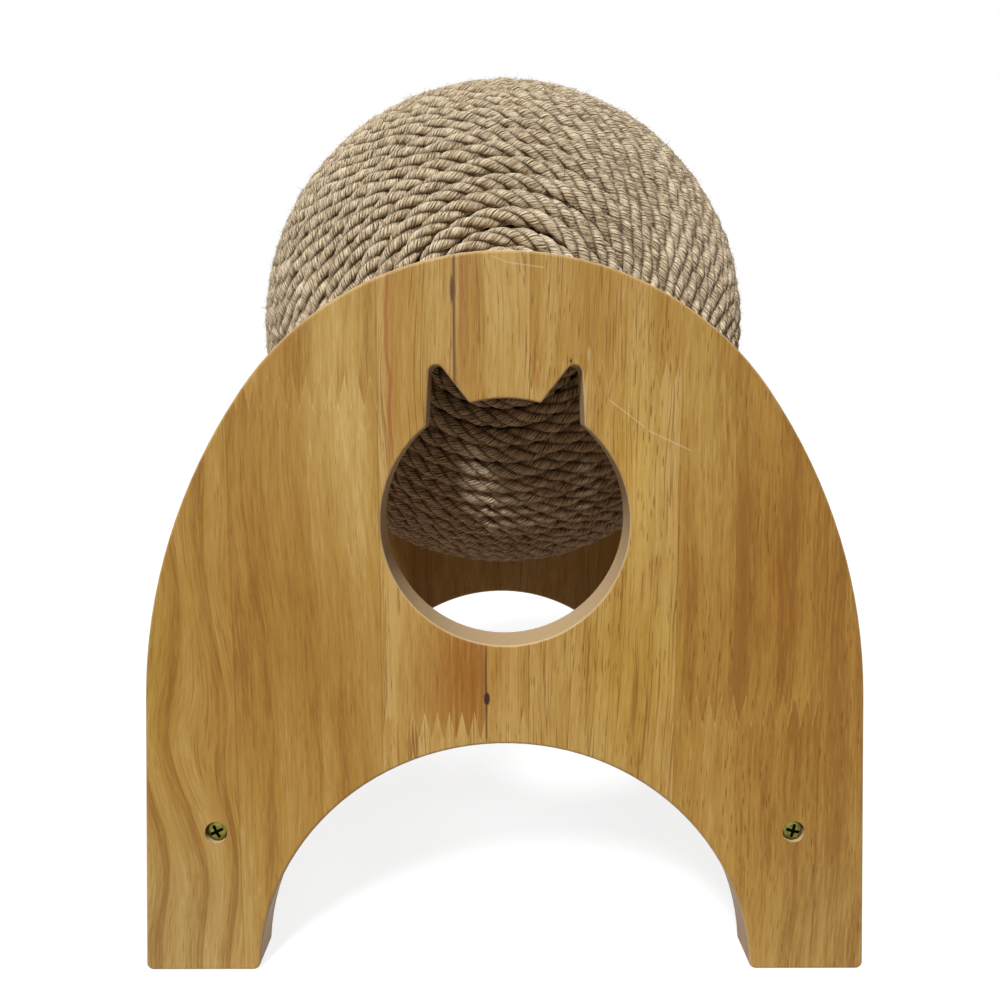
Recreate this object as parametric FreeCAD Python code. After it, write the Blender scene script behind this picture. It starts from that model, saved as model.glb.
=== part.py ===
import FreeCAD, Part
import math
import os
from FreeCAD import Vector

# Cat scratcher: a ball wound with rope turns on an axle between two wooden side panels.
# X is the width, Y the depth with the front panel at -Y, and Z is up from the floor.
# The origin is on the floor, at the middle of the footprint. Lengths are in mm, angles in degrees.

# Side panels
panel_thickness = 18.0
panel_width = 253.0  # over the feet
panel_height = 248.0
crown_inset = 20.0  # by which the crown's radius is under half the width
crown_half_angle = 54.5  # of the crown's arc, from upright to where a shoulder's arc takes over
leg_splay = 2.4  # how far each leg leans outwards
leg_width = 40.0  # of each foot, at the floor
bridge_height = 165.1  # of the board over the arch, up to the panel's top
foot_corner_round = 2.5
panel_edge_round = 1.2

# Cat-head window in each panel
head_radius = 41.5
head_drop = 89.0  # from the panel's top to the head's centre
ear_reach = 20.3  # from the head's circle to the ear's sharp corner, before it is rounded
ear_tilt = 23.6  # of the ear's corner from upright, about the head's centre
ear_inner_root = 16.3  # where the ear's sides leave the head's circle, from upright
ear_outer_root = 39.0
ear_tip_radius = 2.6
ear_root_round = 1.2
window_edge_round = 0.8

# Rope ball
ball_diameter = 212.0
axle_drop = 18.0  # from the panel's top to the axle's middle
ball_clearance = 4.5  # from the rope to each panel
rope_diameter = 6.7
turn_gap = 0.55  # between one turn of rope and the next
rope_seat_gap = 0.3  # from the rope to the core and to the hub
core_wall = 3.0
lip_length = 5.0  # of the tongue that joins the two halves of the core

# Hubs, bushes and axle
axle_diameter = 8.0
axle_socket_depth = 10.0
axle_end_gap = 0.3
axle_chamfer = 0.8
hub_diameter = 20.0
hub_length = 34.0
hub_setback = 2.0  # from the outside of the rope to the hub's end
bush_diameter = 12.0
bush_length = 20.0
flange_diameter = 18.0
flange_thickness = 2.5
spacer_diameter = 16.0
running_clearance = 0.05  # all round the axle, in the bushes
seat_clearance = 0.05  # all round what sits in a hole and stays there
end_play = 0.3  # between a turning flange and its spacer

# Stretchers and screws
stretcher_diameter = 28.0
stretcher_inset = 26.5  # from the outside of the foot to the bar's middle
stretcher_height = 51.2
stretcher_socket_depth = 4.0
screw_diameter = 4.0
screw_length = 40.0  # under the head
screw_point_length = 5.0
screw_head_diameter = 6.8
screw_head_height = 2.2
screw_head_rim = 1.5  # height of the head's straight side, below its dome
screw_recess = 0.6  # from the panel's face to the top of the head
screw_bore_diameter = 7.7  # of the hole that the head sits in
screw_pilot_room = 1.0  # left in front of the screw's point
cross_span = 4.8
cross_width = 1.1
cross_depth = 1.4
cross_turns = {"front_left": 25.0, "front_right": -14.0, "rear_left": 38.0, "rear_right": -31.0}

# Worked out from the sizes above
arch_width = panel_width - 2 * leg_width
arch_height = panel_height - bridge_height
head_height = panel_height - head_drop
axle_height = panel_height - axle_drop
stretcher_spacing = panel_width - 2 * stretcher_inset
turn_pitch = rope_diameter + turn_gap
ball_radius = ball_diameter / 2
inner_face = ball_radius + ball_clearance
outer_face = inner_face + panel_thickness
axle_radius = axle_diameter / 2
hub_radius = hub_diameter / 2
hub_face = ball_radius - hub_setback
rope_radius = rope_diameter / 2
turn_radius = ball_radius - rope_radius
core_radius = turn_radius - rope_radius - rope_seat_gap
spacer_thickness = ball_clearance + hub_setback - flange_thickness - end_play
screw_bore_depth = screw_recess + screw_head_height
screw_seat = outer_face - screw_bore_depth

tolerance = 1e-5  # under which two places are the same
upright = Vector(0, 0, 1)
forward = Vector(0, -1, 0)
ball_centre = Vector(0, 0, axle_height)


def turned_to_rear(shape):
    """A copy of a front piece, turned half round about the middle of the stand."""
    copy = shape.copy()
    copy.rotate(Vector(0, 0, 0), upright, 180)
    return copy


def rod(radius, near, far, x=0.0, z=axle_height):
    """A round bar along Y between two distances in front of the middle."""
    return Part.makeCylinder(radius, far - near, Vector(x, -near, z), forward)


def turned_ring(profile):
    """A closed profile, in a half plane through the axle, turned about the axle."""
    face = Part.Face(Part.Wire([edge.toShape() for edge in profile]))
    return face.revolve(ball_centre, forward, 360)


def axle_point(radius, along):
    """A point of such a half plane: its distance from the axle, and in front of the ball's centre."""
    return ball_centre + Vector(radius, -along, 0)


def panel_outline():
    """Straight legs that lean outwards, a crown of three tangent arcs, and a round arch.

    Each shoulder's arc is tangent to the crown's arc and to the side of the leg. An arch that is
    taller than a half circle stands on straight sides.
    """
    level = -outer_face
    lean = math.radians(leg_splay)
    half = math.radians(crown_half_angle)
    crown_radius = panel_width / 2 - crown_inset
    crown_centre = Vector(0, level, panel_height - crown_radius)
    to_leg = panel_width / 2 * math.cos(lean) - crown_centre.z * math.sin(lean)
    slope = math.sin(half + lean)
    shoulder_radius = (to_leg - crown_radius * slope) / (1 - slope)
    back = Vector(math.sin(half), 0, math.cos(half)) * (shoulder_radius - crown_radius)
    shoulder_centre = crown_centre - back

    def on_shoulder(angle):
        return shoulder_centre + Vector(math.cos(angle), 0, math.sin(angle)) * shoulder_radius

    crown_start = math.pi / 2 - half
    right = [on_shoulder(angle) for angle in (lean, (lean + crown_start) / 2, crown_start)]
    left = [Vector(-point.x, level, point.z) for point in reversed(right)]
    crown = Part.Arc(right[2], Vector(0, level, panel_height), left[0])
    right_foot = Vector(panel_width / 2, level, 0)
    left_foot = Vector(-panel_width / 2, level, 0)
    right_heel = Vector(arch_width / 2, level, 0)
    left_heel = Vector(-arch_width / 2, level, 0)
    straight = Vector(0, 0, max(0.0, arch_height - arch_width / 2))
    right_spring = right_heel + straight
    left_spring = left_heel + straight
    arch = Part.Arc(left_spring, Vector(0, level, arch_height), right_spring)
    edges = [
        Part.LineSegment(right_foot, right[0]),
        Part.Arc(*right),
        crown,
        Part.Arc(*left),
        Part.LineSegment(left[2], left_foot),
        Part.LineSegment(left_foot, left_heel),
        arch,
        Part.LineSegment(right_heel, right_foot),
    ]
    if straight.Length > tolerance:
        edges.append(Part.LineSegment(left_heel, left_spring))
        edges.append(Part.LineSegment(right_spring, right_heel))
    return Part.Wire(Part.__sortEdges__([edge.toShape() for edge in edges]))


def head_point(radius, angle):
    """A point on the panel's outer face, at an angle from upright about the head's centre."""
    turn = math.radians(angle)
    return Vector(radius * math.sin(turn), -outer_face, head_height + radius * math.cos(turn))


def lines_along_y(shape, wanted):
    """The straight edges of a shape that run along Y, where a test of their X and Z holds."""
    found = []
    for edge in shape.Edges:
        ends = [vertex.Point for vertex in edge.Vertexes]
        if len(ends) == 2 and (ends[1] - ends[0]).cross(forward).Length < tolerance:
            if wanted(ends[0].x, ends[0].z):
                found.append(edge)
    return found


def ear_prism(side):
    """One ear of the window: a corner with a rounded tip, whose sides run on into the head."""
    tip = head_point(head_radius + ear_reach, side * ear_tilt)
    run_on = head_radius / 4
    corners = [tip]
    for angle in (ear_inner_root, ear_outer_root):
        root = head_point(head_radius, side * angle)
        inward = (root - tip).normalize()
        corners.append(root + inward * run_on)
    prism = Part.Face(Part.makePolygon(corners + [tip])).extrude(Vector(0, panel_thickness, 0))
    tip_edges = lines_along_y(prism, lambda x, z: math.hypot(x - tip.x, z - tip.z) < tolerance)
    return prism.makeFillet(ear_tip_radius, tip_edges)


def face_loops(panel, level):
    """The outer loop and the window's loop of the panel's flat face at a level of Y."""
    flat = [face for face in panel.Faces if face.BoundBox.YLength < tolerance]
    face = [face for face in flat if abs(face.BoundBox.YMin - level) < tolerance][0]
    outer = face.OuterWire
    window = [wire for wire in face.Wires if not wire.isSame(outer)][0]
    return outer.Edges, window.Edges


def rounded_panel():
    """The board with its arch and window, all its edges eased."""
    board = Part.Face(panel_outline()).extrude(Vector(0, panel_thickness, 0))
    board = board.makeFillet(foot_corner_round, lines_along_y(board, lambda x, z: abs(z) < tolerance))
    window = Part.makeCylinder(head_radius, panel_thickness, head_point(0, 0), Vector(0, 1, 0))
    for side in (-1, 1):
        window = window.fuse(ear_prism(side))
    board = board.cut(window.removeSplitter())
    roots = [head_point(head_radius, side * angle)
             for side in (-1, 1) for angle in (ear_inner_root, ear_outer_root)]
    root_edges = lines_along_y(
        board, lambda x, z: min(math.hypot(x - root.x, z - root.z) for root in roots) < tolerance)
    board = board.makeFillet(ear_root_round, root_edges)
    outer_loops = []
    for level in (-outer_face, -inner_face):
        outer_loops += face_loops(board, level)[0]
    board = board.makeFillet(panel_edge_round, outer_loops)
    window_loops = []
    for level in (-outer_face, -inner_face):
        window_loops += face_loops(board, level)[1]
    return board.makeFillet(window_edge_round, window_loops)


def side_panel():
    """The front panel, with its blind axle socket, stretcher sockets and screw holes."""
    panel = rounded_panel()
    holes = [rod(axle_radius + seat_clearance, inner_face, inner_face + axle_socket_depth)]
    for side in (-1, 1):
        x = side * stretcher_spacing / 2
        socket_end = inner_face + stretcher_socket_depth
        socket_radius = stretcher_diameter / 2 + seat_clearance
        shank_radius = screw_diameter / 2 + seat_clearance
        holes.append(rod(socket_radius, inner_face, socket_end, x, stretcher_height))
        holes.append(rod(shank_radius, inner_face, outer_face, x, stretcher_height))
        holes.append(rod(screw_bore_diameter / 2, screw_seat, outer_face, x, stretcher_height))
    return panel.cut(holes)


def stretcher(side):
    """A round bar between the panels, with a pilot hole for a screw in each end."""
    x = side * stretcher_spacing / 2
    end = inner_face + stretcher_socket_depth
    bar = rod(stretcher_diameter / 2, -end, end, x, stretcher_height)
    pilot_end = screw_seat - screw_length - screw_pilot_room
    pilot = rod(screw_diameter / 2 + seat_clearance, pilot_end, end, x, stretcher_height)
    other_pilot = pilot.mirror(Vector(0, 0, 0), forward)
    return bar.cut([pilot, other_pilot])


def screw(cross_turn):
    """A domed screw along Z, with the underside of its head at the origin and its cross turned."""
    shank = screw_diameter / 2
    rim = screw_head_diameter / 2
    point = Vector(0, 0, -screw_length)
    top = Vector(0, 0, screw_head_height)
    rim_top = Vector(rim, 0, screw_head_rim)
    dome_rise = screw_head_height - screw_head_rim
    dome_radius = (rim ** 2 + dome_rise ** 2) / (2 * dome_rise)
    half_turn = math.asin(rim / dome_radius) / 2
    dome_centre = screw_head_height - dome_radius
    middle = Vector(dome_radius * math.sin(half_turn), 0,
                    dome_centre + dome_radius * math.cos(half_turn))
    shoulders = [point, Vector(shank, 0, screw_point_length - screw_length), Vector(shank, 0, 0),
                 Vector(rim, 0, 0), rim_top]
    edges = [Part.LineSegment(a, b) for a, b in zip(shoulders, shoulders[1:])]
    edges.append(Part.Arc(rim_top, middle, top))
    edges.append(Part.LineSegment(top, point))
    body = Part.Face(Part.Wire([edge.toShape() for edge in edges])).revolve(Vector(0, 0, 0), upright, 360)
    slots = []
    for turn in (cross_turn, cross_turn + 90):
        corner = Vector(-cross_span / 2, -cross_width / 2, screw_head_height - cross_depth)
        slot = Part.makeBox(cross_span, cross_width, cross_depth, corner)
        slot.rotate(Vector(0, 0, 0), upright, turn)
        slots.append(slot)
    return body.cut(slots)


def placed_screw(side, cross_turn):
    """A screw in the front panel, its head facing forwards at the bottom of its bore."""
    piece = screw(cross_turn)
    piece.rotate(Vector(0, 0, 0), Vector(1, 0, 0), 90)
    piece.translate(Vector(side * stretcher_spacing / 2, -screw_seat, stretcher_height))
    return piece


def axle():
    """A steel rod with chamfered ends, from the bottom of one blind socket to the other."""
    end = inner_face + axle_socket_depth - axle_end_gap
    bar = rod(axle_radius, -end, end)
    rims = [edge for edge in bar.Edges if edge.BoundBox.YLength < tolerance]
    return bar.makeChamfer(axle_chamfer, rims)


def spacer():
    """A ring on the axle, against the front panel."""
    near = inner_face - spacer_thickness
    ring = rod(spacer_diameter / 2, near, inner_face)
    return ring.cut(rod(axle_radius + seat_clearance, near, inner_face))


def bush():
    """A flanged bush, pushed into the front hub and turning on the axle."""
    bore = axle_radius + running_clearance
    flange_end = hub_face + flange_thickness
    sleeve = rod(bush_diameter / 2, hub_face - bush_length, flange_end)
    flange = rod(flange_diameter / 2, hub_face, flange_end)
    body = sleeve.fuse(flange).removeSplitter()
    return body.cut(rod(bore, hub_face - bush_length, flange_end))


def core_half(with_tongue):
    """The front half of the hollow core: a shell with a hub, and a tongue or a rebate at its rim."""
    inside = core_radius - core_wall
    joint = core_radius - core_wall / 2
    bore = bush_diameter / 2 + seat_clearance
    hub_end = hub_face - hub_length

    def on_sphere(radius, off_axle):
        return axle_point(off_axle, math.sqrt(radius ** 2 - off_axle ** 2))

    def arc(radius, first, last):
        middle = ((first + last) * 0.5 - ball_centre).normalize() * radius + ball_centre
        return Part.Arc(first, middle, last)

    rim = axle_point(core_radius, 0)
    outer_root = on_sphere(core_radius, hub_radius)
    inner_root = on_sphere(inside, hub_radius)
    hub = [outer_root, axle_point(hub_radius, hub_face), axle_point(bore, hub_face),
           axle_point(bore, hub_end), axle_point(hub_radius, hub_end), inner_root]
    if with_tongue:
        tongue = joint - seat_clearance
        edge_line = [axle_point(inside, 0), axle_point(inside, -lip_length),
                     axle_point(tongue, -lip_length), axle_point(tongue, 0), rim]
    else:
        depth = lip_length + end_play
        ledge = axle_point(math.sqrt(inside ** 2 - depth ** 2), depth)
        edge_line = [ledge, axle_point(joint, depth), axle_point(joint, 0), rim]
    profile = [arc(core_radius, rim, outer_root)]
    profile += [Part.LineSegment(a, b) for a, b in zip(hub, hub[1:])]
    profile.append(arc(inside, inner_root, edge_line[0]))
    profile += [Part.LineSegment(a, b) for a, b in zip(edge_line, edge_line[1:])]
    return turned_ring(profile)


class Spiral:
    """The middle line of the rope from the hub to the ball's equator, counted in turns from the hub.

    The turns are one pitch apart over the ball. The first turn opens a little wider, so that the
    straight end of the rope lies clear of the second.
    """

    def __init__(self):
        eye = hub_radius + rope_seat_gap + rope_radius
        self.eye_angle = math.asin(eye / turn_radius)
        end_swing = math.hypot(eye, rope_diameter) - eye
        end_turn = math.atan2(rope_diameter, eye) / (2 * math.pi)
        self.end_room = end_swing + turn_pitch * end_turn
        over_ball = turn_radius * (math.pi / 2 - self.eye_angle)
        self.turns = (over_ball - self.end_room) / turn_pitch

    def angles(self, turn):
        """The angle from the front pole, and the angle about the axle from straight down."""
        first = min(turn, 1.0)
        along = turn_pitch * turn + self.end_room * first * (2 - first)
        return self.eye_angle + along / turn_radius, 2 * math.pi * (self.turns - turn)

    def point(self, turn):
        from_pole, about = self.angles(turn)
        off_axle = turn_radius * math.sin(from_pole)
        place = Vector(off_axle * math.sin(about), -turn_radius * math.cos(from_pole),
                       -off_axle * math.cos(about))
        return ball_centre + place

    def heading(self, turn):
        """The direction of travel from the hub towards the equator."""
        from_pole, about = self.angles(turn)
        rate = (turn_pitch + 2 * self.end_room * (1 - min(turn, 1.0))) / turn_radius
        outward = Vector(math.cos(from_pole) * math.sin(about), math.sin(from_pole),
                         -math.cos(from_pole) * math.cos(about))
        round_axle = Vector(-math.cos(about), 0, -math.sin(about)) * math.sin(from_pole)
        return (outward * rate + round_axle * 2 * math.pi).normalize()


def biarc(start, heading, end, end_heading):
    """Two arcs that leave one point and reach another in given directions, tangent where they meet."""
    across = end - start
    both = heading + end_heading
    square = both.dot(both) - 4
    lean = across.dot(both)
    arm = (lean - math.sqrt(lean ** 2 - square * across.dot(across))) / square
    corners = [start + heading * arm, end - end_heading * arm]
    joint = (corners[0] + corners[1]) * 0.5
    arcs = []
    for first, corner, last in ((start, corners[0], joint), (joint, corners[1], end)):
        middle = (first + last) * 0.5
        half_chord = (last - first).Length / 2
        bend = math.acos(min(1.0, half_chord / arm))
        crest = middle + (corner - middle) * (math.tan(bend / 2) / math.tan(bend))
        arcs.append(Part.Arc(first, crest, last))
    return arcs


def least_gap(points, step):
    """The least room between two stretches of the rope, from points a step apart along it."""
    cell = rope_diameter * 2
    apart = int(math.pi * rope_diameter / step)
    cells = {}
    for place, point in enumerate(points):
        key = (int(point.x // cell), int(point.y // cell), int(point.z // cell))
        cells.setdefault(key, []).append(place)
    least = turn_radius
    for (i, j, k), here in cells.items():
        near = []
        for shift in range(27):
            key = (i + shift // 9 - 1, j + shift // 3 % 3 - 1, k + shift % 3 - 1)
            near += cells.get(key, [])
        for place in here:
            others = [points[other] for other in near if other - place > apart]
            least = min([least] + [points[place].distanceToPoint(other) for other in others])
    return least - rope_diameter


def rope_winding():
    """The front half of the rope: one tube from beside the hub to the bottom of the equator."""
    spiral = Spiral()
    quarters = round(spiral.turns * 4)
    stops = [spiral.turns * quarter / quarters for quarter in range(quarters)]
    places = [spiral.point(stop) for stop in stops]
    headings = [spiral.heading(stop) for stop in stops]
    end = spiral.point(spiral.turns)
    end_heading = spiral.heading(spiral.turns)
    places.append(end - end_heading * rope_diameter)
    headings.append(end_heading)
    start = places[0] - headings[0] * rope_diameter
    curves = [Part.LineSegment(start, places[0])]
    for here in range(quarters):
        curves += biarc(places[here], headings[here], places[here + 1], headings[here + 1])
    curves.append(Part.LineSegment(places[-1], end))
    path = Part.Wire([curve.toShape() for curve in curves])
    section = Part.Wire(Part.makeCircle(rope_radius, start, headings[0]))
    tube = path.makePipeShell([section], True, False)
    bends = [edge.Curve.Radius for edge in path.Edges if isinstance(edge.Curve, Part.Circle)]
    step = rope_diameter / 6
    gap = least_gap(path.discretize(Distance=step), step)
    share = tube.Volume / (math.pi * rope_radius ** 2 * path.Length)
    print(f"rope: {spiral.turns:.1f} turns, {path.Length:.0f} mm, tightest bend {min(bends):.1f} mm")
    print(f"rope: least gap to itself {gap:.2f} mm, volume over section times length {share:.4f}")
    return tube


def build():
    """Every piece of the scratcher, by name."""
    pieces = {}
    for name, piece in (("panel", side_panel()), ("spacer", spacer()), ("bush", bush()),
                        ("rope_winding", rope_winding())):
        pieces["front_" + name] = piece
        pieces["rear_" + name] = turned_to_rear(piece)
    pieces["front_core"] = core_half(with_tongue=True)
    pieces["rear_core"] = turned_to_rear(core_half(with_tongue=False))
    pieces["axle"] = axle()
    for name, side in (("left", -1), ("right", 1)):
        pieces[name + "_stretcher"] = stretcher(side)
        pieces[f"front_{name}_screw"] = placed_screw(side, cross_turns["front_" + name])
        rear_screw = placed_screw(-side, cross_turns["rear_" + name])
        pieces[f"rear_{name}_screw"] = turned_to_rear(rear_screw)
    return pieces


os.makedirs("parts", exist_ok=True)
for name, piece in build().items():
    solid = piece.Solids[0] if len(piece.Solids) == 1 else piece
    print(f"{name}: {len(piece.Solids)} solid, valid {piece.isValid()}, {piece.Volume / 1000:.2f} cm3")
    solid.exportStep(f"parts/{name}.step")
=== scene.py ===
# %% [markdown]
# # A rope ball in a wooden stand
# This cat scratcher is a ball wound with jute rope, which turns on an axle between two boards.
# The boards, bars, screws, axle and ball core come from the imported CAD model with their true
# shapes, so here they only get their finishes. The rope is soft and laid from three strands, which
# CAD shows as a plain tube, so it is made anew in this lesson.

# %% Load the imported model
import bpy
import numpy as np
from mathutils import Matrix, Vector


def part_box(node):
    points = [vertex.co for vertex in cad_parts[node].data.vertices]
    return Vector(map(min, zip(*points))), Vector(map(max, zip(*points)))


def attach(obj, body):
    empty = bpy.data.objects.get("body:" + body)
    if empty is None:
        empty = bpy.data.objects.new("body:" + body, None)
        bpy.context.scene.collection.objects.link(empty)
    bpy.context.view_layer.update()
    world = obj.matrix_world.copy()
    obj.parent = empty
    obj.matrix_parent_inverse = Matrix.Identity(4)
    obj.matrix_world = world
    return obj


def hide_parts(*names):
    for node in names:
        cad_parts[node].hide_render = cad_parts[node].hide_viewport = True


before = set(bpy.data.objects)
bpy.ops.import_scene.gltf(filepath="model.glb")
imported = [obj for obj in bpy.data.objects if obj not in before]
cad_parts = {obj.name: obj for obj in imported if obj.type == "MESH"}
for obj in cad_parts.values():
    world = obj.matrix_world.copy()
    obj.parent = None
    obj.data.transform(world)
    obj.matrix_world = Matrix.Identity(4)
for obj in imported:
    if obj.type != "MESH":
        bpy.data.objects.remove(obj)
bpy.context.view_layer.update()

mm = 0.001
scene = bpy.context.scene
print("CAD pieces:", ", ".join(sorted(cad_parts)))

# %% [markdown]
# ## The camera
# The photograph was taken from close by, a little above the window in the front board and tilted
# down by seven degrees. The distance matters more than the lens: it sets how much larger the front
# board looks than the ball behind it. These values come from matching the board's outline, the
# window, the screws and the ball in the picture, and the lens then follows from the framing.

# %% Camera
tilt_down = 6.93
turn_right = 0.18
camera = bpy.data.objects.new("photo_camera", bpy.data.cameras.new("photo_camera"))
camera.data.sensor_width = 36
camera.data.lens = 33.1
camera.data.clip_start = 0.01
camera.data.clip_end = 100
camera.location = (-2.7 * mm, -430.6 * mm, 203.8 * mm)
camera.rotation_euler = np.radians((90 - tilt_down, 0, -turn_right))
scene.collection.objects.link(camera)
scene.camera = camera
scene.view_settings.view_transform = "Standard"
print("camera at", [round(value, 3) for value in camera.location], "lens", camera.data.lens)

# %% [markdown]
# ## Shader arithmetic
# A material is a graph of nodes. Written by hand, each sum needs a node and two links, so a small
# class wraps a node's output and lets Python's operators add the Math nodes. One method adds any
# node: the settings first, because they can change which sockets there are, then the values and
# links. The others, such as a soft step or a blend of two colours, are built on it.


# %% A field that varies over a surface
class Field:
    """One output socket of a material's nodes. Arithmetic on it adds Math nodes."""

    def __init__(self, tree, socket=None):
        self.tree = tree
        self.socket = socket

    def node(self, kind, settings=(), inputs=(), output=0):
        """Adds a node: its settings, then a value or a link for each socket that is named."""
        made = self.tree.nodes.new(kind)
        for name, value in dict(settings).items():
            setattr(made, name, value)
        for key, value in dict(inputs).items():
            if isinstance(value, Field):
                self.tree.links.new(value.socket, made.inputs[key])
            else:
                made.inputs[key].default_value = value
        return Field(self.tree, made.outputs[output])

    def math(self, operation, *values):
        """A Math node on one, two or three values."""
        return self.node("ShaderNodeMath", {"operation": operation}, enumerate(values))

    def __add__(self, other):
        return self.math("ADD", self, other)

    def __radd__(self, other):
        return self.math("ADD", other, self)

    def __sub__(self, other):
        return self.math("SUBTRACT", self, other)

    def __rsub__(self, other):
        return self.math("SUBTRACT", other, self)

    def __mul__(self, other):
        return self.math("MULTIPLY", self, other)

    def __rmul__(self, other):
        return self.math("MULTIPLY", other, self)

    def __truediv__(self, other):
        return self.math("DIVIDE", self, other)

    def __rtruediv__(self, other):
        return self.math("DIVIDE", other, self)

    def __pow__(self, power):
        return self.math("POWER", self, power)

    def __mod__(self, other):
        return self.math("FLOORED_MODULO", self, other)

    def __gt__(self, other):
        return self.math("GREATER_THAN", self, other)

    def __abs__(self):
        return self.math("ABSOLUTE", self)

    def step(self, low, high):
        """A soft step: 0 at low, 1 at high and smooth between. It falls where low is above high."""
        ends = {"Value": self, "From Min": low, "From Max": high}
        return self.node("ShaderNodeMapRange", {"interpolation_type": "SMOOTHSTEP"}, ends)

    def bell(self, middle, reach):
        """1 at a middle value, and down to 0 at a reach to either side."""
        return abs(self - middle).step(reach, 0.0)

    def blend(self, first, second):
        """The first colour where this field is 0, and the second where it is 1."""
        return self.node("ShaderNodeMix", {"data_type": "RGBA"}, {0: self, 6: first, 7: second}, 2)

    def times(self, colour, ratio):
        """The colour where this field is 0, and where it is 1, the colour times a ratio."""
        settings = {"data_type": "RGBA", "blend_type": "MULTIPLY"}
        return self.node("ShaderNodeMix", settings, {0: self, 6: colour, 7: ratio}, 2)

    def parts(self):
        """The three numbers of a vector."""
        return [self.node("ShaderNodeSeparateXYZ", (), {0: self}, axis) for axis in range(3)]

    def vector(self, x, y, z):
        """A vector of three numbers or fields."""
        return self.node("ShaderNodeCombineXYZ", (), {0: x, 1: y, 2: z})

    def noise(self, x, y, z, detail=2.0, roughness=0.5, w=None):
        """Smooth noise about 0.5 with lumps one unit across, in three dimensions, or four with w."""
        inputs = {"Vector": self.vector(x, y, z), "Scale": 1.0,
                  "Detail": detail, "Roughness": roughness}
        if w is None:
            return self.node("ShaderNodeTexNoise", {"noise_dimensions": "3D"}, inputs)
        return self.node("ShaderNodeTexNoise", {"noise_dimensions": "4D"}, {**inputs, "W": w})


print("fields ready")


# %% Helpers for finishes
def tint(red, green, blue):
    """A colour of a material, in linear light."""
    return (red, green, blue, 1.0)


def finish(name, **constants):
    """A new material with one Principled shader, whose unvarying sockets are set here."""
    material = bpy.data.materials.new(name)
    material.use_nodes = True
    shader = material.node_tree.nodes["Principled BSDF"]
    for socket, value in constants.items():
        shader.inputs[socket.replace("_", " ")].default_value = value
    return material, shader, Field(material.node_tree)


def feed(field, shader, socket):
    """Links a field to a socket of a shader."""
    field.tree.links.new(field.socket, shader.inputs[socket])


def place_in_mm(field):
    """The place on the piece, in millimetres of the shared frame."""
    at = field.node("ShaderNodeTexCoord", output="Object")
    return [value * 1000.0 for value in at.parts()]


def bump(field, height, depth):
    """Raises the surface where the height is 1, by a depth in metres."""
    inputs = {"Strength": 1.0, "Distance": depth, "Height": height}
    return field.node("ShaderNodeBump", (), inputs)


def dress(material, *nodes):
    """Puts a finish on CAD pieces."""
    for node in nodes:
        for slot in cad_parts[node].material_slots:
            slot.material = material


print("helpers for finishes ready")

# %% [markdown]
# ## Floor and light
# The picture has a plain white ground. A floor that is white to the camera, but brown to the light
# that bounces off it and darker further away, keeps the shade behind the window as deep and warm as
# in the picture, and the sky gives only a weak warm fill. The two bright patches on the rope behind
# the window are light through its ears, so the main light stands in front, above and a little to
# the left. A weak sun behind keeps the back from going black. A sun has no falloff, so the floor
# stays white up to the horizon, and it still takes the soft shadow.


# %% White to the camera, darker to the light
def seen_directly(field):
    """1 for rays from the camera, or seen in gloss or through glass, and 0 for bounced light."""
    rays = [field.node("ShaderNodeLightPath", output=name)
            for name in ("Is Camera Ray", "Is Glossy Ray", "Is Transmission Ray")]
    return rays[0].math("MAXIMUM", rays[0].math("MAXIMUM", rays[0], rays[1]), rays[2])


white = tint(1, 1, 1)
black = tint(0, 0, 0)
sky_light = 0.05
fill_colour = tint(1.0, 0.76, 0.64)
world = bpy.data.worlds.new("studio")
world.use_nodes = True
scene.world = world
sky = Field(world.node_tree)
direct = seen_directly(sky)
background = world.node_tree.nodes["Background"]
feed(direct * (1.0 - sky_light) + sky_light, background, "Strength")
feed(direct.blend(fill_colour, white), background, "Color")
print("sky: white to the camera, and a fill of", sky_light, "to the object")

# %% Floor
floor_half = 20.0
corners = floor_half * np.array([(-1, -1, 0), (1, -1, 0), (1, 1, 0), (-1, 1, 0)])
floor_mesh = bpy.data.meshes.new("floor")
floor_mesh.from_pydata(corners, [], [(0, 1, 2, 3)])
floor = bpy.data.objects.new("floor", floor_mesh)
scene.collection.objects.link(floor)

seen_floor = tint(0.22, 0.22, 0.22)
floor_glow = tint(0.86, 0.86, 0.86)
near_floor = tint(0.60, 0.44, 0.37)
far_floor = tint(0.15, 0.11, 0.09)
floor_paint, floor_shader, paint = finish("floor_paint", Roughness=1.0, Specular_IOR_Level=0.0)
direct = seen_directly(paint)
floor_x, floor_y, _ = place_in_mm(paint)
from_middle = (floor_x * floor_x + floor_y * floor_y) ** 0.5
bounced = from_middle.step(110.0, 220.0).blend(near_floor, far_floor)
feed(direct.blend(bounced, seen_floor), floor_shader, "Base Color")
feed(direct.blend(black, floor_glow), floor_shader, "Emission Color")
floor_shader.inputs["Emission Strength"].default_value = 1.0
floor_mesh.materials.append(floor_paint)
print("floor:", 2 * floor_half, "m wide")

# %% Two suns
# Each has an azimuth and an elevation in degrees, a strength, and a spread in degrees.
suns = {"front_sun": (-15, 41, 3.86, 10), "back_sun": (180, 46, 1.3, 20)}
for name, (azimuth, elevation, strength, spread) in suns.items():
    lamp = bpy.data.lights.new(name, "SUN")
    lamp.energy = strength
    lamp.angle = np.radians(spread)
    sun = bpy.data.objects.new(name, lamp)
    sun.rotation_euler = np.radians((90 - elevation, 0, azimuth))
    scene.collection.objects.link(sun)
print("lights:", ", ".join(suns))

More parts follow.
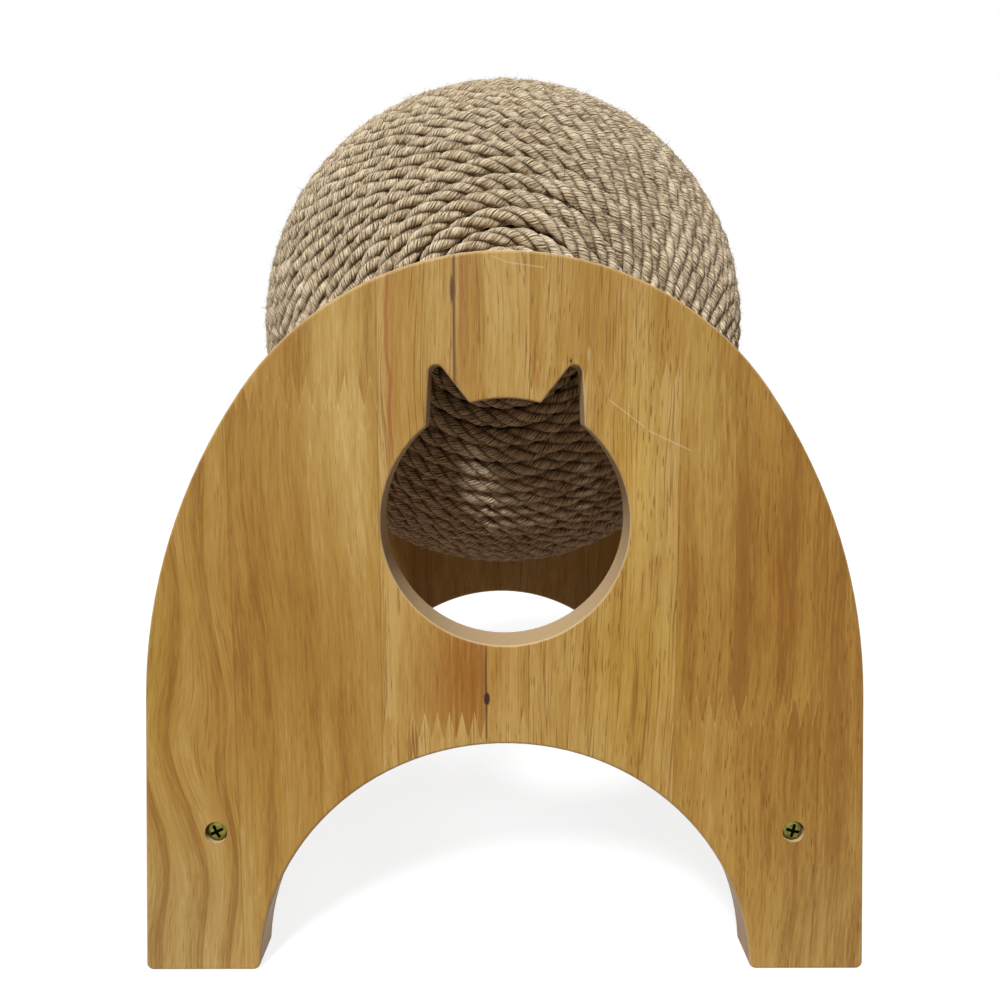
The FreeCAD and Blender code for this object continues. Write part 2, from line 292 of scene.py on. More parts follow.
# %% [markdown]
# ## Honey-coloured board
# The boards are glued up from staves about 50 mm wide, and most staves are two lengths joined end to
# end with sharp fingers. A picture of wood would stretch over the rounded edges, so the grain is a
# solid pattern instead: it runs up the board and shows end grain where the board is cut. Every
# length gets its own random number, which shifts its grain and its tone. The outermost stave on the
# left is sawn flat through the log, so its growth rings wander and show as broad waves.


# %% Grain of one length of wood
def wood_grain(field, across, deep, along, piece, flat_sawn):
    """The grain of a length of wood, in mm: rings, bands of tone, fibres, dark lines and open pores.

    All are waves or noise drawn out along the length. A ring darkens slowly and ends sharply. The
    lines are where a slow noise passes through its middle value, and the pores are the middles of
    random cells, about nine times as long as wide, each with its own shade and size. The rings lean
    through the thickness, so they show as slanting stripes on end grain.
    """
    ring_width = 8.5 + 5.5 * flat_sawn
    ring_lean = 0.7
    pore_width, pore_length = 0.9, 8.0
    away = piece * 37.7
    drift = field.noise(across / 60, deep / 60 + away, along / 110, 1.0) - 0.5
    bent = across + drift * (14 + 46 * flat_sawn) + away
    ring = ((bent + ring_lean * deep) / ring_width) % 1.0
    rings = ring.step(0.25, 0.9) * ring.step(1.0, 0.92)
    bands = field.noise(bent / 9, deep / 9, along / 130, 4.0, 0.55)
    fibres = field.noise(bent / 0.7, deep / 0.7, along / 11, 3.0, 0.65)
    ridge = field.noise(bent / 2.6, deep / 2.6, along / 170 + away, 3.0, 0.55)
    lines = abs(ridge - 0.5).step(0.017, 0.003)
    cell = field.vector(bent / pore_width, deep / pore_width, along / pore_length)
    cells = {"Vector": cell, "Scale": 1.0}
    nearest = field.node("ShaderNodeTexVoronoi", {"feature": "F1"}, cells)
    shade, size, _ = field.node("ShaderNodeTexVoronoi", {"feature": "F1"}, cells, "Color").parts()
    crowd = field.noise(bent / 9, deep / 9, along / 45 + away, 2.0).step(0.34, 0.6)
    pores = (nearest + 0.14 * size).step(0.36, 0.16) * (0.4 + 0.6 * shade) * (0.25 + 0.75 * crowd)
    return rings, bands, fibres, lines, pores


print("grain ready")

# %% Staves and their finger joints
stave_width = 49.85
first_glue_line = 8.0
joint_high = 205.0
joint_drop = 115.5
joint_climb = 2.6
out_of_sight = 400.0
finger_pitch = 4.2
finger_length = 10.0


def glued_staves(x, z):
    """The stave at a place, 1 on its upper length, and masks of the glue lines and of the seam.

    The joints are high and low in turn and climb a little to the right, and the outermost staves
    have theirs far below the board. The fingers are a zigzag over a joint's height. The seam is
    where a place is near that zigzag, and it is strongest at the fingers' tips.
    """
    count = (x - first_glue_line) / stave_width
    stave = count.math("FLOOR", count)
    in_stave = (count - stave) * stave_width
    to_glue = in_stave.math("MINIMUM", in_stave, stave_width - in_stave)
    outermost = abs(stave + 0.5) > 2.0
    joint = joint_high - joint_drop * (stave % 2.0) + joint_climb * (stave + 1)
    joint = joint - out_of_sight * outermost
    tooth = x.math("PINGPONG", x, finger_pitch / 2) / (finger_pitch / 2)
    over = z - joint - (tooth - 0.5) * finger_length
    glue = to_glue.step(0.35, 0.05)
    tips = abs(tooth - 0.5).step(0.40, 0.48) * abs(over).step(1.6, 0.6)
    seam = abs(over).step(1.0, 0.2) * 0.22 + tips * 0.5
    return stave, over > 0, glue, seam


print("staves", stave_width, "mm wide, fingers", finger_pitch, "mm apart")

# %% Cut faces and bare walls
window_height = 159.0
screw_height = 51.2
screw_reach = 100.0


def from_screws(x, z):
    """The distance from the axis of the nearer screw, in mm: the root of the summed squares."""
    return ((z - screw_height) ** 2.0 + (abs(x) - screw_reach) ** 2.0) ** 0.5


def cut_faces(field, x, z):
    """Masks of the faces cut across the board, of its rounded edges, and of the bare walls.

    A face is cut where its normal turns away from Y, and an edge is where the normal is half way.
    The bare walls are the cut faces near the middle of the window or of a screw bore.
    """
    facing = abs(field.node("ShaderNodeNewGeometry", output="Normal").parts()[1])
    cut = facing.step(0.93, 0.45)
    edge = facing.bell(0.6, 0.38)
    from_window = ((z - window_height) ** 2.0 + x * x) ** 0.5
    in_window = from_window.step(64.0, 58.0)
    in_bore = from_screws(x, z).step(8.0, 7.0)
    return cut, edge, cut * in_window.math("MAXIMUM", in_window, in_bore)


print("window at", window_height, "mm, screws at", screw_height, "mm")

# %% A board of glued staves
honey_pale = tint(0.51, 0.335, 0.110)
honey = tint(0.38, 0.213, 0.044)
honey_deep = tint(0.255, 0.118, 0.020)
pore_brown = tint(0.16, 0.058, 0.010)
# Pale bare wood, also the colour of the painted highlight on the rounded edges.
bare_wood_and_edge_highlight = tint(0.66, 0.50, 0.30)


def board_finish(name, seed, marks=None):
    """Staves side by side under a satin lacquer, and any marks of this board alone.

    The middle staves are the palest and the right ones the deepest, and the upper length of a
    middle stave is the darker one. A fine pale seam follows the fingers. Cut faces are paler, partly
    as end grain and partly as painted light on walls turned away from the main light. The rounded
    edges are paler too, a painted highlight that is partly wood sanded through, and the walls of the
    window and of the screw bores are bare.
    """
    material, shader, field = finish(name, Specular_IOR_Level=0.25)
    x, y, z = place_in_mm(field)
    stave, upper, glue, seam = glued_staves(x, z)
    piece = stave * 2 + upper + seed
    roll = field.node("ShaderNodeTexWhiteNoise", {"noise_dimensions": "1D"}, {"W": piece}, "Color")
    lot, lined, _ = roll.parts()
    middle = stave.bell(-0.5, 1.6)
    flat_sawn = (-2.5 - stave) > 0
    rings, bands, fibres, lines, pores = wood_grain(field, x, y, z, piece, flat_sawn)
    lines = lines * (0.1 + 0.25 * lined + 0.8 * middle + 0.3 * flat_sawn)
    pores = pores * (0.5 + 0.5 * x.step(-30.0, 10.0))

    tone = 0.46 + (bands - 0.5) * (1.1 - 0.4 * flat_sawn) + (fibres - 0.5) * 0.85
    tone = tone + (lot - 0.5) * 0.16
    tone = tone + 0.36 * middle - 0.16 * x.step(56.0, 92.0) - 0.1 * upper * middle
    tone = tone - rings * (0.07 + 0.2 * flat_sawn)
    colour = tone.step(0.05, 0.5).blend(honey_deep, honey)
    colour = tone.step(0.42, 0.95).blend(colour, honey_pale)
    dark = 1 - (1 - lines * 0.75) * (1 - pores * 0.75) * (1 - glue * 0.35)
    colour = dark.blend(colour, pore_brown)
    colour = seam.blend(colour, honey_pale)
    if marks:
        colour = marks(field, x, z, upper, colour)

    cut, edge, bare = cut_faces(field, x, z)
    wall = (fibres * 0.3 + pores * 0.3).blend(bare_wood_and_edge_highlight, honey_deep)
    # Painted light and end grain: cut faces are blended paler, so walls turned away from the main
    # light look lit.
    colour = (cut * 0.45).blend(colour, honey_pale)
    colour = (cut * rings * 0.22).blend(colour, honey_deep)
    # Painted highlight: the rounded edges are blended towards pale bare wood, partly wood sanded
    # through there.
    colour = (edge * 0.45).blend(colour, bare_wood_and_edge_highlight)
    colour = (bare * 0.85).blend(colour, wall)
    feed(colour, shader, "Base Color")
    feed(0.40 + 0.25 * pores + 0.1 * fibres + 0.3 * bare, shader, "Roughness")
    height = 1 - pores * 0.7 - glue * 0.3 - seam * 0.5 + fibres * 0.25
    feed(bump(field, height, 0.00008), shader, "Normal")
    return material


print("board finish ready")


# %% Scratches of the front board
def scratch(x, z, start, end, width):
    """1 along a straight line from a start to an end, in mm, and 0 away from it.

    A place is measured along the line and off it, and both have to be within reach.
    """
    run = np.subtract(end, start)
    length = np.hypot(*run)
    ahead, aside = run / length, np.array((-run[1], run[0])) / length
    along = (x - start[0]) * ahead[0] + (z - start[1]) * ahead[1]
    off = (x - start[0]) * aside[0] + (z - start[1]) * aside[1]
    return off.bell(0.0, width) * along.step(-1.0, 1.0) * along.step(length + 1.0, length - 1.0)


# Start, end and width of each, in mm: two on the right of the window, two at the top and two chips.
board_scratches = (
    ((34.0, 200.0), (46.0, 191.0), 0.35),
    ((47.0, 190.0), (61.0, 183.5), 0.35),
    ((-4.5, 246.0), (0.5, 244.0), 0.35),
    ((0.5, 244.0), (12.5, 242.3), 0.35),
    ((5.0, 200.5), (9.0, 198.5), 0.9),
    ((27.2, 213.0), (27.2, 216.5), 0.7),
)
print("scratches:", len(board_scratches))

# %% Patches and veins of the front board
# Each patch has a middle and a reach in X and in Z, in mm, and the ratio of its colour to the rest.
board_patches = {
    "sapwood, upper left": ((-54, 17), (205, 85), tint(1.30, 1.50, 2.1)),
    "sapwood, upper right": ((69, 15), (197, 65), tint(1.20, 1.36, 1.62)),
    "pale wood by the window": ((42, 15), (180, 55), tint(1.05, 1.05, 0.86)),
    "heartwood, left": ((-72, 28), (120, 75), tint(0.89, 0.83, 0.70)),
    "heartwood, right": ((92, 24), (135, 80), tint(0.90, 0.82, 0.68)),
    "yellow wood over the arch": ((43, 32), (112, 52), tint(0.92, 0.88, 0.60)),
    "olive wood, left edge": ((-120, 22), (120, 65), tint(0.88, 0.89, 0.70)),
    "greyed left foot": ((-118, 60), (0, 85), tint(1.08, 1.28, 2.00)),
    "greyed right foot": ((118, 60), (0, 85), tint(1.02, 1.15, 1.56)),
}
heart_ratio = tint(0.80, 0.65, 0.45)
strip_brown = tint(0.33, 0.13, 0.028)
vein_red = tint(0.28, 0.09, 0.02)
streak_brown = tint(0.28, 0.11, 0.025)
crack_brown = tint(0.07, 0.022, 0.012)
ember_red = tint(0.34, 0.12, 0.02)
heart_red = tint(0.25, 0.085, 0.014)
knot_black = tint(0.03, 0.011, 0.006)
scratch_pale = tint(0.72, 0.58, 0.38)


def front_marks(field, x, z, upper, colour):
    """Patches of sapwood and heartwood, a red vein, a dark streak, a small knot, and scratches.

    Each is a soft mask in X and Z, and the long ones waver by a slow noise.
    """
    for (x_middle, x_reach), (z_middle, z_reach), ratio in board_patches.values():
        colour = (x.bell(x_middle, x_reach) * z.bell(z_middle, z_reach)).times(colour, ratio)
    heart = x.bell(-14.0, 28.0) * z.bell(108.0, 42.0) * upper
    colour = heart.times(colour, heart_ratio)
    waver = (field.noise(x / 40, 0.0, z / 30, 2.0) - 0.5) * 5
    streaky = field.noise(x / 1.5, 3.0, z / 80, 3.0).step(0.25, 0.65)
    strip = x.bell(-37.5, 5.0) * (0.15 + 0.85 * z.step(150.0, 200.0)) * streaky
    colour = (strip * 0.35).blend(colour, strip_brown)
    vein = (x + waver).bell(-38.0, 1.1) * z.step(160.0, 195.0)
    colour = (vein * 0.6).blend(colour, vein_red)
    streak = (x + waver * 0.3).bell(-13.0, 6.0) * z.step(185.0, 225.0) * streaky
    colour = (streak * 0.7).blend(colour, streak_brown)
    stain = (x.bell(-17.0, 1.5) * z.bell(235.5, 8.0)).step(0.05, 0.7)
    crack = (x + waver * 0.2).bell(-16.6, 0.8) * z.step(170.0, 225.0)
    dark = stain.math("MAXIMUM", stain * 0.85, crack * 0.85)
    colour = dark.blend(colour, crack_brown)
    ember = x.bell(10.5, 1.6) * z.bell(206.5, 6.0)
    colour = (ember * 0.6).blend(colour, ember_red)
    zone = x.step(-40.0, -9.0) * x.step(-5.5, -6.5) * z.step(140.0, 105.0) * upper
    colour = (zone * streaky * 0.75).blend(colour, heart_red)
    line = (x + waver * 0.25).bell(-6.4, 0.6) * z.step(82.0, 86.0) * z.step(124.0, 112.0)
    knot = (x.bell(-6.2, 1.5) * z.bell(99.0, 3.4)).step(0.05, 0.5)
    nick = x.bell(21.3, 0.8) * z.bell(212.6, 1.2)
    knot = knot.math("MAXIMUM", knot, nick)
    dark = line.math("MAXIMUM", line * 0.8, knot)
    colour = dark.blend(colour, knot_black)
    scratches = sum(scratch(x, z, *stroke) for stroke in board_scratches)
    return (scratches * 0.4).blend(colour, scratch_pale)


dress(board_finish("front_board_wood", 11.0, front_marks), "front_panel")
dress(board_finish("rear_board_wood", 47.0), "rear_panel")
print("boards finished, with", len(board_patches), "patches on the front one")

# %% [markdown]
# ## Bars, screws and the hidden works
# The two round bars are turned from the same wood, with the grain along them, so the board's grain
# function serves again with its axes swapped. The screws are plated yellow, a little dull and
# uneven. The axle is drawn steel with fine lines along it, and bushes, spacers and the ball's core
# are moulded, so they get a faint orange-peel surface.


# %% Round bars
def bar_finish(name, seed):
    """Straight grain along Y under a satin lacquer. The two bars have different grain."""
    material, shader, field = finish(name, Specular_IOR_Level=0.45)
    x, y, z = place_in_mm(field)
    piece = (x > 0) * 3 + seed
    rings, bands, fibres, lines, pores = wood_grain(field, x, z, y, piece, 0.0)
    tone = 0.5 + (bands - 0.5) * 1.2 + (fibres - 0.5) * 0.6 - rings * 0.12
    colour = tone.step(0.1, 0.9).blend(honey_deep, honey_pale)
    dark = 1 - (1 - lines * 0.5) * (1 - pores * 0.6)
    feed(dark.blend(colour, pore_brown), shader, "Base Color")
    feed(0.42 + 0.25 * pores, shader, "Roughness")
    feed(bump(field, 1 - pores * 0.7 + fibres * 0.25, 0.00008), shader, "Normal")
    return material


dress(bar_finish("bar_wood", 5.0), "left_stretcher", "right_stretcher")
print("bars finished")


# %% Plated screws and the steel axle
def plated_finish(name, bright, dull, rough, shade_depth):
    """Metal whose plating clouds over in patches, with fine scratches, and painted shade below a
    depth.

    The screws' crosses are painted near black as painted shade: nearer the middle than the shade
    depth, and near the axis.
    """
    material, shader, field = finish(name, Metallic=1.0)
    x, y, z = place_in_mm(field)
    cloud = field.noise(x / 1.6, y / 1.6, z / 1.6, 3.0)
    scored = field.noise(x / 0.15, y / 2.0, z / 0.15, 2.0)
    # Painted shade: near black deep in the screws' crosses.
    cross_shade = abs(y).step(shade_depth, shade_depth - 0.25) * from_screws(x, z).step(2.9, 2.6)
    colour = cloud.step(0.3, 0.7).blend(bright, dull)
    feed(cross_shade.blend(colour, cross_shade_black), shader, "Base Color")
    feed(rough + 0.25 * (cloud - 0.5) + 0.15 * (scored - 0.5) + 0.4 * cross_shade, shader, "Roughness")
    feed(bump(field, scored, 0.00001), shader, "Normal")
    return material


# Near black, for the painted shade in the screws' crosses.
cross_shade_black = tint(0.006, 0.005, 0.003)
bright_plating = tint(0.25, 0.24, 0.055)
dull_plating = tint(0.12, 0.11, 0.026)
cross_floor = 127.3
screws = [f"{end}_{side}_screw" for end in ("front", "rear") for side in ("left", "right")]
dress(plated_finish("yellow_plating", bright_plating, dull_plating, 0.36, cross_floor), *screws)
bright_steel = tint(0.60, 0.60, 0.60)
dull_steel = tint(0.42, 0.42, 0.43)
dress(plated_finish("drawn_steel", bright_steel, dull_steel, 0.3, 0.0), "axle")
print("metal finished:", ", ".join(screws), "and the axle")


# %% Moulded bushes, spacers and ball core
def moulded_finish(name, light, dark, rough):
    """Moulded plastic with a faint orange-peel surface and slow changes of tone."""
    material, shader, field = finish(name, Specular_IOR_Level=0.4)
    x, y, z = place_in_mm(field)
    flow = field.noise(x / 14, y / 14, z / 14, 2.0)
    peel = field.noise(x / 0.8, y / 0.8, z / 0.8, 2.0)
    feed(flow.step(0.25, 0.75).blend(dark, light), shader, "Base Color")
    feed(rough + 0.2 * (peel - 0.5), shader, "Roughness")
    feed(bump(field, peel, 0.00003), shader, "Normal")
    return material


pale_nylon = tint(0.66, 0.63, 0.55)
dull_nylon = tint(0.57, 0.54, 0.46)
nylon = moulded_finish("natural_nylon", pale_nylon, dull_nylon, 0.45)
dress(nylon, "front_bush", "rear_bush", "front_spacer", "rear_spacer")
light_brown = tint(0.075, 0.05, 0.033)
dark_brown = tint(0.05, 0.032, 0.021)
dress(moulded_finish("brown_plastic", light_brown, dark_brown, 0.6), "front_core", "rear_core")
print("bushes, spacers and core finished")

# %% [markdown]
# ## The rope's route
# The rope starts beside each hub and winds outwards over the ball, one pitch further each turn, and
# its two halves meet under the ball at the widest turn. The route is a spiral on a sphere: the angle
# from the pole grows steadily while the rope goes round. It is worked out on a fine grid and then
# read off at even steps of length, so that the lay of the strands is even too.

# %% Route of the rope over the ball
axle_low, axle_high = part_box("axle")
ball_centre = np.array([0, 0, (axle_low[2] + axle_high[2]) / 2])
turn_radius = 102.65 * mm
turn_pitch = 7.25 * mm
eye_radius = 13.65 * mm
tube_width = 6.7 * mm
eye_angle = np.arcsin(eye_radius / turn_radius)
end_room = np.hypot(eye_radius, tube_width) - eye_radius
end_room += turn_pitch * np.arctan2(tube_width, eye_radius) / (2 * np.pi)
turns = (turn_radius * (np.pi / 2 - eye_angle) - end_room) / turn_pitch
fine_points = 60001


def rope_route(step):
    """Points at even steps from the ball's widest turn to the front hub, and the outward direction.

    At a count of turns from the hub, the angle from the pole is the eye's angle plus one pitch for
    each turn, and the first turn opens a little wider. The angle about the axle is one round a turn.
    """
    turn = np.linspace(turns, 0, fine_points)
    first = np.minimum(turn, 1)
    from_pole = eye_angle + (turn_pitch * turn + end_room * first * (2 - first)) / turn_radius
    about = 2 * np.pi * (turns - turn)
    outward = np.stack([np.sin(from_pole) * np.sin(about), -np.cos(from_pole),
                        -np.sin(from_pole) * np.cos(about)], axis=1)
    jumps = np.linalg.norm(np.diff(outward, axis=0), axis=1) * turn_radius
    along = np.concatenate([[0], np.cumsum(jumps)])
    even = np.linspace(0, along[-1], int(along[-1] / step))
    outward = np.stack([np.interp(even, along, outward[:, axis]) for axis in range(3)], axis=1)
    return even, outward / np.linalg.norm(outward, axis=1, keepdims=True)


route_step = 1.6 * mm
route_length, route_outward = rope_route(route_step)
print(f"each half: {turns:.1f} turns, {route_length[-1]:.2f} m of rope, {len(route_length)} rings")

# %% [markdown]
# ## Three strands
# The rope is laid from three strands that turn about each other, right-handed, about once in 23 mm.
# Each strand is a tube along a helix about the route. A rope wound by hand isn't regular, so slow
# random waves let it wander on the ball, swell and twist a little. Each strand carries a map along
# and around it, for the yarns.


# %% Waves along the rope
meeting_reach = 0.03
settled = 1 - np.exp(-(route_length / meeting_reach) ** 2)


def waves(along, lengths, seed):
    """A smooth random number along the rope: sine waves of several lengths, each at a random phase."""
    phases = np.random.default_rng(seed).random(len(lengths))
    parts = [np.sin(2 * np.pi * (along / length + phase)) for length, phase in zip(lengths, phases)]
    return np.sum(parts, axis=0) / np.sqrt(len(lengths))


def unit(vectors):
    """Each vector divided by its length."""
    return vectors / np.linalg.norm(vectors, axis=-1, keepdims=True)


def rope_frame(seed):
    """The middle of the rope, and the directions outwards and sideways from it.

    It is the route plus one wave outwards and one sideways. The waves die out where the two halves
    meet, so that one runs on into the other.
    """
    lift = waves(route_length, (0.031, 0.057, 0.113), seed) * settled * 0.2 * mm
    lean = waves(route_length, (0.043, 0.089, 0.171), seed + 1) * settled * 0.34 * mm
    middle = route_outward * turn_radius
    ahead = unit(np.gradient(middle, axis=0))
    sideways = unit(np.cross(ahead, route_outward))
    middle = middle + route_outward * lift[:, None] + sideways * lean[:, None]
    ahead = unit(np.gradient(middle, axis=0))
    sideways = unit(np.cross(ahead, route_outward))
    return middle, np.cross(sideways, ahead), sideways


print("waves die out within", meeting_reach, "m of where the halves meet")


# %% A closed tube
def closed_tube(name, rings, ends, along):
    """A tube through rings of points, closed at each end by a point, with a map along and around it.

    Each wall face joins two neighbours on a ring to the same two on the next ring.
    """
    count, sides = rings.shape[:2]
    points = np.concatenate([rings.reshape(-1, 3), ends])
    row, column = np.meshgrid(np.arange(count - 1), np.arange(sides), indexing="ij")
    beside = (column + 1) % sides
    walls = np.stack([row * sides + column, row * sides + beside,
                      (row + 1) * sides + beside, (row + 1) * sides + column], axis=-1).reshape(-1, 4)
    around = np.arange(sides)
    after = (around + 1) % sides
    last = (count - 1) * sides
    start_cap = np.stack([after, around, np.full(sides, count * sides)], axis=1)
    end_cap = np.stack([last + around, last + after, np.full(sides, count * sides + 1)], axis=1)
    mesh = bpy.data.meshes.new(name)
    mesh.from_pydata(points, [], walls.tolist() + start_cap.tolist() + end_cap.tolist())
    mesh.polygons.foreach_set("use_smooth", np.ones(len(mesh.polygons), dtype=bool))
    u_walls = np.stack([along[row], along[row], along[row + 1], along[row + 1]], axis=-1)
    v_walls = np.stack([column, column + 1, column + 1, column], axis=-1) / sides
    start_v = np.stack([around + 1, around, around + 0.5], axis=1) / sides
    end_v = np.stack([around, around + 1, around + 0.5], axis=1) / sides
    u = np.concatenate([u_walls.ravel(), np.full(3 * sides, along[0]), np.full(3 * sides, along[-1])])
    v = np.concatenate([v_walls.ravel(), start_v.ravel(), end_v.ravel()])
    layer = mesh.uv_layers.new(name="OFBake")
    layer.uv.foreach_set("vector", np.stack([u, v], axis=1).astype(np.float32).ravel())
    return mesh


print("tubes ready")

# %% A strand along a helix
lay_length = 23.4 * mm
strand_offset = 1.70 * mm
strand_radius = 1.86 * mm
strand_sides = 12
map_repeat = 8 * lay_length


def strand_line(strand, seed):
    """The line along one strand: the rope's middle plus the offset, turned once round in each lay.

    With it come the directions forwards, away from the rope's middle, and across both.
    """
    middle, out, side = rope_frame(seed)
    angle = 2 * np.pi * (route_length / lay_length + strand / 3)
    angle = angle + 0.5 * settled * waves(route_length, (0.047, 0.09, 0.21, 0.37), seed + 2)
    away = out * np.cos(angle)[:, None] + side * np.sin(angle)[:, None]
    loose = 0.06 * waves(route_length, (0.023, 0.053, 0.091), seed + 13 + strand)
    line = middle + away * (strand_offset * (1 + loose))[:, None]
    forward = unit(np.gradient(line, axis=0))
    away = unit(away - forward * np.sum(away * forward, axis=1, keepdims=True))
    return line, forward, away, np.cross(forward, away)


def strand_mesh(name, half_turn, strand, seed):
    """One strand: a circle carried along the strand's line, with its first point away from the rope.

    Its radius swells in waves and is a little rough at each point. The rear half is turned about the
    vertical, by changing the signs of X and Y.
    """
    line, forward, away, across = strand_line(strand, seed)
    swell = 1 + 0.075 * waves(route_length, (0.0107, 0.019, 0.041, 0.077), seed + 3 + strand)
    turn = 2 * np.pi * np.arange(strand_sides) / strand_sides
    ring = away[:, None] * np.cos(turn)[:, None] + across[:, None] * np.sin(turn)[:, None]
    rough = 1 + 0.03 * np.random.default_rng(seed + 23 + strand).normal(0, 1, ring.shape[:2])
    rings = line[:, None] + ring * (strand_radius * swell[:, None] * rough)[..., None]
    blunt = strand_radius / 2
    tips = np.stack([line[0] - forward[0] * blunt, line[-1] + forward[-1] * blunt])
    facing = np.array([half_turn, half_turn, 1])
    along = route_length / map_repeat + strand * 0.37
    return closed_tube(name, ball_centre + rings * facing, ball_centre + tips * facing, along)


print(f"rope about {2000 * (strand_offset + strand_radius):.1f} mm thick")

# %% [markdown]
# ## Jute
# Jute is a dull fibre of many tones, from straw to brown. Each strand is spun from yarns that lean
# the other way from the lay of the strands, and single fibres lie along the yarns. The finish reads
# the strand's own map, turned along the yarns, and wraps its noise round two circles so that it
# repeats without a seam. The side of a strand that faces into the rope is painted darker, as painted
# shade of the grooves between the strands.

# %% Jute finish
yarns_around = 6.0
yarn_turns = 36.0
straw = tint(0.94, 0.815, 0.59)
jute = tint(0.62, 0.472, 0.295)
brown_jute = tint(0.19, 0.11, 0.05)
shaded_jute = tint(0.105, 0.060, 0.027)


def jute_finish(name):
    """Yarns, fibres, slow changes of tone and painted shade, all on the map along and around a strand.
    """
    material, shader, field = finish(name, Specular_IOR_Level=0.2)
    u, v, _ = field.node("ShaderNodeUVMap", {"uv_map": "OFBake"}).parts()
    around = 2 * np.pi * v
    along = 2 * np.pi * u
    yarn = around + along * yarn_turns
    round_yarn = (yarn.math("COSINE", yarn), yarn.math("SINE", yarn))
    round_map = (along.math("COSINE", along), along.math("SINE", along))

    def wrapped(fine, long, detail, roughness):
        """Noise with lumps so fine around the yarns and so long along them, and no seam."""
        return field.noise(round_yarn[0] * fine, round_yarn[1] * fine, round_map[0] * long,
                           detail, roughness, round_map[1] * long)

    fibres = wrapped(4.0, 14.0, 4.0, 0.7)
    tufts = wrapped(3.0, 9.0, 2.0, 0.5)
    patches = wrapped(0.5, 2.6, 2.0, 0.5)
    ridge = abs(yarn.math("COSINE", yarn * (yarns_around / 2) + 7.0 * (tufts - 0.5))).step(0.0, 0.7)
    # Painted shade: the side of a strand that faces into the rope is blended towards shaded jute.
    groove_shade = (0.5 - 0.5 * around.math("COSINE", around)).step(0.15, 0.6)
    tone = 0.54 + 2.7 * (fibres - 0.5) + (tufts - 0.5)
    # Painted shade: the grooves between the yarns are darker in tone, and the crowns a little lighter.
    tone = tone + 0.6 * (ridge - 0.75) + 0.9 * (patches - 0.5)
    colour = tone.step(0.08, 0.5).blend(brown_jute, jute)
    colour = tone.step(0.42, 0.9).blend(colour, straw)
    colour = (groove_shade * tufts.step(0.2, 0.7)).blend(colour, shaded_jute)
    feed(colour, shader, "Base Color")
    feed(0.72 + 0.2 * (fibres - 0.5), shader, "Roughness")
    feed(bump(field, 0.6 * ridge + 0.6 * fibres + 0.3 * tufts, 0.0007), shader, "Normal")
    return material


jute_rope = jute_finish("jute_rope")
print("jute finished")


# %% Lay the rope on the ball
def add_piece(name, mesh, material, body):
    """A new piece at the origin, which rides on a body and takes its finish from a slot."""
    mesh.materials.append(material)
    piece = bpy.data.objects.new(name, mesh)
    scene.collection.objects.link(piece)
    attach(piece, body)
    return piece


# The signs of X and Y, and the seed of the random waves.
halves = {"front": (1, 3), "rear": (-1, 71)}
for half, (half_turn, seed) in halves.items():
    for strand in range(3):
        name = f"{half}_rope_strand_{strand + 1}"
        mesh = strand_mesh(name, half_turn, strand, seed)
        piece = add_piece(name, mesh, jute_rope, "ball")
        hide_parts(f"{half}_rope_winding")
print("rope: 6 strands, each with", len(mesh.polygons), "faces")

# %% [markdown]
# ## Loose fibres
# Jute is hairy. Tens of thousands of short fibres stand off the rope and soften its outline, and
# some longer ones hang over it. Each is a thin three-sided spike with one bend: three points at the
# root, three at the bend and one at the tip, because there are so many.


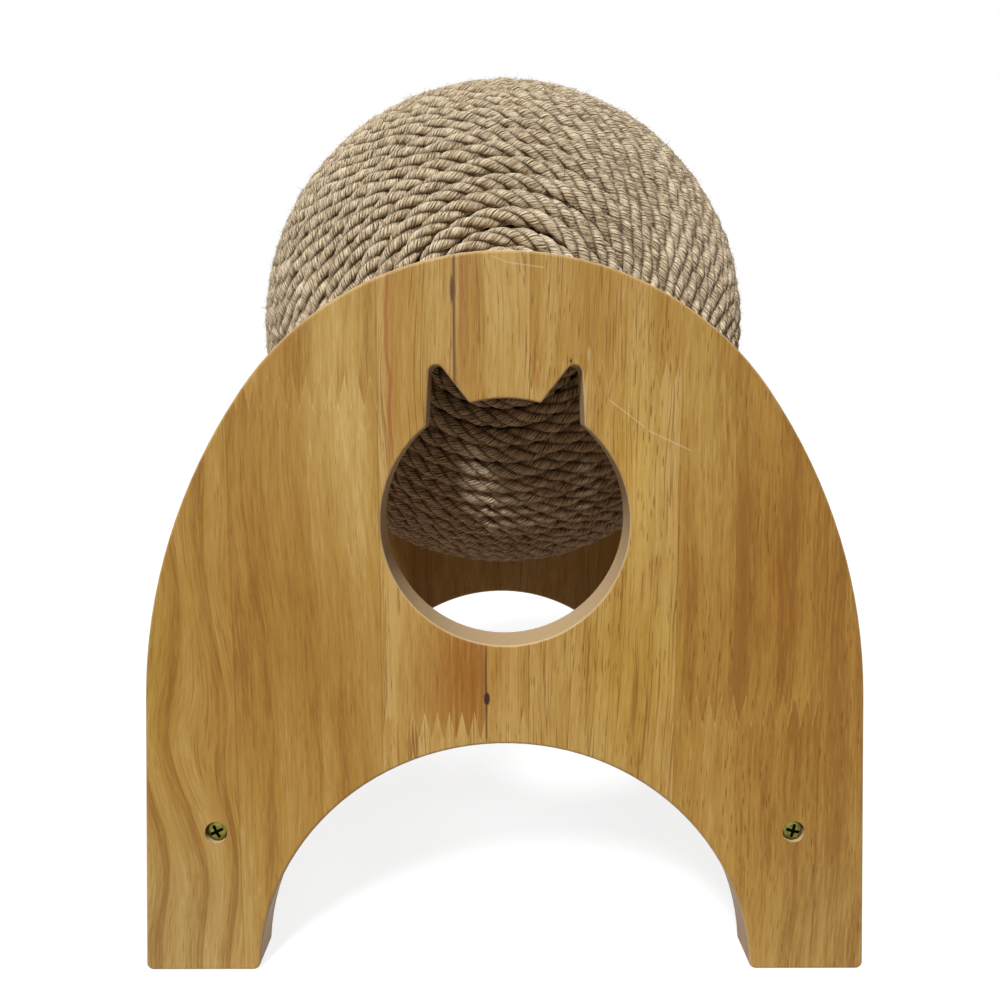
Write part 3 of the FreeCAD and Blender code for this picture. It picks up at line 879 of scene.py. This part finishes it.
# %% Fibres that stand off the rope
def fibre_mesh(name, half_turn, seed, lot, count, shortest, longest):
    """Thin bent spikes: from a point on a strand, half the length one way, and then bending over.

    The roots are random points of the strands' surface that face away from the rope's middle and
    from the ball, and none is close to a board. The bend is at the root plus half the length along
    a heading, and the tip is half the length on along a second heading, which leans further over
    the strand.
    """
    tries = 8 * count
    board_room = 0.098
    dice = np.random.default_rng(seed + lot)
    strands = [strand_line(strand, seed) for strand in range(3)]
    line, forward, away, across = (np.concatenate(parts) for parts in zip(*strands))
    outward = np.tile(route_outward, (3, 1))
    spot = dice.integers(0, len(line), tries)
    turn = dice.uniform(-1.4, 1.4, tries)
    upward = away[spot] * np.cos(turn)[:, None] + across[spot] * np.sin(turn)[:, None]
    facing = np.sum(upward * outward[spot], axis=1)
    kept = np.flatnonzero((facing > 0.2) & (np.abs(line[spot, 1]) < board_room))[:count]
    spot, upward = spot[kept], upward[kept]
    root = line[spot] + upward * strand_radius * 0.9
    heading = forward[spot] * dice.choice((-1, 1), count)[:, None]
    swing = dice.normal(0, 0.4, (count, 3))
    first = unit(heading * dice.uniform(0.2, 1.3, count)[:, None] + upward * 0.6 + swing)
    second = unit(first + heading * 0.5 + dice.normal(0, 0.5, (count, 3)))
    length = (shortest + (longest - shortest) * dice.random(count) ** 2)[:, None]
    elbow = root + first * length / 2
    tip = elbow + second * length / 2
    thick = dice.uniform(0.05, 0.095, (count, 1)) * mm
    beam = unit(np.cross(first, second + 0.1))
    over = np.cross(first, beam)
    corner = 2 * np.pi * np.arange(3) / 3
    ring = beam[:, None] * np.cos(corner)[:, None] + over[:, None] * np.sin(corner)[:, None]
    low_ring = root[:, None] + ring * thick[:, None]
    high_ring = elbow[:, None] + ring * thick[:, None] * 0.75
    points = np.concatenate([low_ring, high_ring, tip[:, None]], axis=1)
    points = ball_centre + points * np.array([half_turn, half_turn, 1])
    step, beside = np.arange(3), np.array([1, 2, 0])
    walls = np.stack([step, beside, beside + 3, step + 3], axis=1)
    spikes = np.concatenate([np.stack([step + 3, beside + 3, np.full(3, 6)], axis=1), [(2, 1, 0)]])
    place = 7 * np.arange(count)[:, None, None]
    mesh = bpy.data.meshes.new(name)
    faces = (walls + place).reshape(-1, 4).tolist() + (spikes + place).reshape(-1, 3).tolist()
    mesh.from_pydata(points.reshape(-1, 3), [], faces)
    mesh.polygons.foreach_set("use_smooth", np.ones(len(mesh.polygons), dtype=bool))
    return mesh


print("fibre shape ready")

# %% Finish of the fibres
dull_fibre = tint(0.36, 0.265, 0.15)
pale_fibre = tint(0.78, 0.645, 0.43)


def fibre_finish(name):
    """Pale fibres, some browner than others from place to place."""
    material, shader, field = finish(name, Specular_IOR_Level=0.2)
    x, y, z = place_in_mm(field)
    mixed = field.noise(x / 3, y / 3, z / 3, 2.0)
    feed(mixed.step(0.36, 0.66).blend(dull_fibre, pale_fibre), shader, "Base Color")
    feed(0.6 + 0.2 * mixed, shader, "Roughness")
    return material


jute_fibres = fibre_finish("jute_fibres")
print("fibres finished")

# %% Fibres on both halves
fuzz_count = 19000
hair_count = 2500
for half, (half_turn, seed) in halves.items():
    nap = fibre_mesh(f"{half}_rope_nap", half_turn, seed, 101, fuzz_count, 0.7 * mm, 2.0 * mm)
    fuzz = fibre_mesh(f"{half}_rope_fuzz", half_turn, seed, 102, fuzz_count, 1.0 * mm, 3.0 * mm)
    hairs = fibre_mesh(f"{half}_rope_hairs", half_turn, seed, 103, hair_count, 2.0 * mm, 6.0 * mm)
    for mesh in (nap, fuzz, hairs):
        add_piece(mesh.name, mesh, jute_fibres, "ball")
print("fibres:", 2 * (2 * fuzz_count + hair_count))
